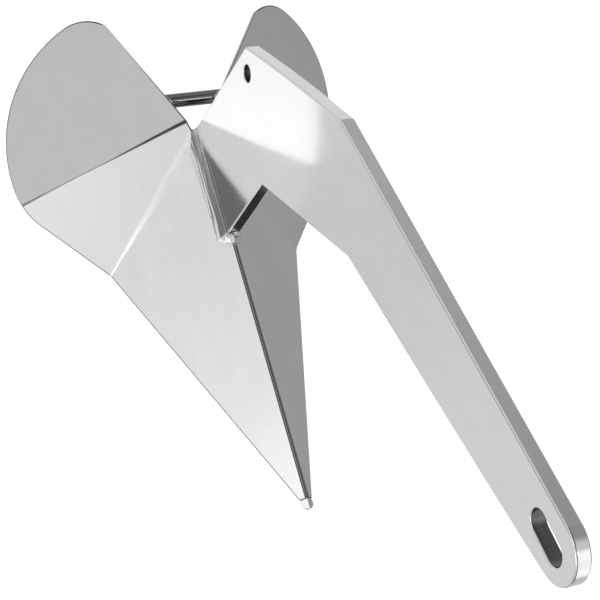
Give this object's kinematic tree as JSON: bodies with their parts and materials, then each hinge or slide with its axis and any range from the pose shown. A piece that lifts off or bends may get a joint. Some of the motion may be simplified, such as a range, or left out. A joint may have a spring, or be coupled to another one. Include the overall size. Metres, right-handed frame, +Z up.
{
  "type": "boat anchor",
  "caption": "Fixed-shank plough anchor in polished stainless steel: cranked flat shank with shackle slot, folded fluke with upturned ears, ballasted nose.",
  "frame": {"origin": "on the ground, under the middle of the anchor's box, as the anchor stands on its nose and its two wing corners", "axes": "+X forward towards the nose and the shackle end of the shank, +Y to port, +Z up; the X-Z plane is the plane of symmetry and the middle of the shank"},
  "size_m": [0.7334, 0.343, 0.3761],
  "materials": {
    "shank_steel": "mirror polished, with faint polishing lines",
    "fluke_steel": "mirror polished sheet",
    "bar_steel": "bright drawn bar",
    "weld_steel": "ground and polished weld",
    "seam_steel": "brushed weld bead",
    "sole_steel": "satin",
    "lead": "as cast"
  },
  "bodies": {
    "root": {"shank": "shank_steel", "fluke_plate_port": "fluke_steel", "fluke_plate_starboard": "fluke_steel", "crossbar": "bar_steel", "nose_point": "weld_steel", "ridge_weld": "weld_steel", "shank_weld_port": "weld_steel", "shank_weld_starboard": "weld_steel", "root_weld_port": "seam_steel", "root_weld_starboard": "seam_steel", "crossbar_weld_port": "weld_steel", "crossbar_weld_starboard": "weld_steel", "sole_plate": "sole_steel", "sole_weld_port": "seam_steel", "sole_weld_starboard": "seam_steel", "bulkhead": "sole_steel", "bulkhead_weld": "seam_steel", "ballast": "lead"}
  },
  "joints": []
}
